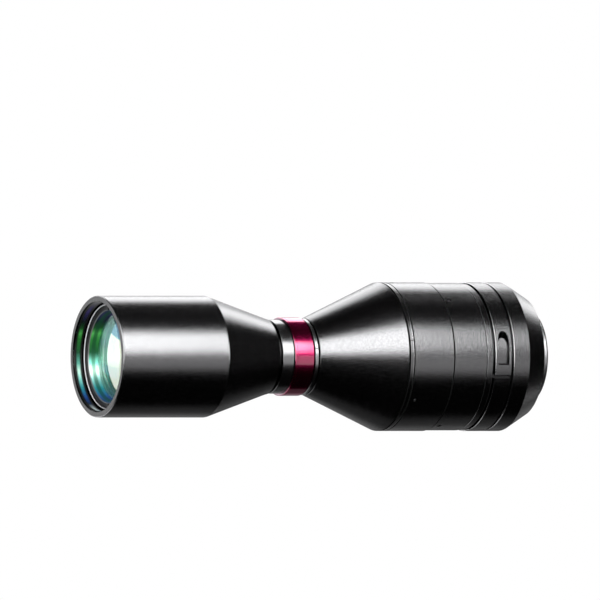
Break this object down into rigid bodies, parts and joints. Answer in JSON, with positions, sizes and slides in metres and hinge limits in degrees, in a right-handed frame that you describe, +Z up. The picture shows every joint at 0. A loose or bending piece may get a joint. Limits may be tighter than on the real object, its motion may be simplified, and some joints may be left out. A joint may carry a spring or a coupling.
{
  "type": "bi-telecentric lens",
  "caption": "Long black machine-vision lens with two barrels that taper to a narrow neck with a magenta ring, and a threaded camera flange.",
  "frame": {"origin": "centre of the camera flange face, where the camera thread boss begins", "axes": "+X along the optical axis towards the camera, the front lens at -X; +Z up with the lens level"},
  "size_m": [0.3744, 0.116, 0.116],
  "materials": {
    "black_anodised": "bead-blasted black anodised aluminium with a satin sheen",
    "black_bore": "matt black anodised inner aluminium",
    "dark_satin": "turned aluminium, dark grey anodised, satin",
    "magenta_anodised": "magenta anodised aluminium, satin",
    "front_glass": "coated optical glass with a green and blue residual reflection",
    "inner_glass": "coated optical glass",
    "screw_steel": "blackened steel"
  },
  "bodies": {
    "lens_body": {"front_barrel": "black_anodised", "front_retaining_ring": "dark_satin", "front_lens": "front_glass", "front_spacer_ring": "black_bore", "front_doublet_crown": "inner_glass", "front_doublet_flint": "inner_glass", "front_cone": "black_anodised", "neck_tube": "dark_satin", "aperture_stop": "black_bore", "stop_retaining_ring": "black_bore", "accent_ring": "magenta_anodised", "neck_lock_ring": "dark_satin", "rear_cone": "black_anodised", "cone_lock_ring": "black_anodised", "group_barrel": "black_anodised", "group_barrel_screws": "screw_steel", "rear_doublet_flint": "inner_glass", "rear_doublet_crown": "inner_glass", "rear_spacer_ring": "black_bore", "rear_lens": "inner_glass", "rear_retaining_ring": "black_bore", "rear_barrel": "black_anodised", "rear_barrel_screws": "screw_steel", "stop_ring": "black_anodised", "split_band": "black_anodised", "adapter_lock_screws": "screw_steel"},
    "adapter": {"camera_adapter": "black_anodised"}
  },
  "joints": [
    {"name": "camera_adapter_turn", "type": "hinge", "parent": "lens_body", "child": "adapter", "pos_m": [0, 0, 0], "axis": [1, 0, 0], "continuous": true}
  ]
}
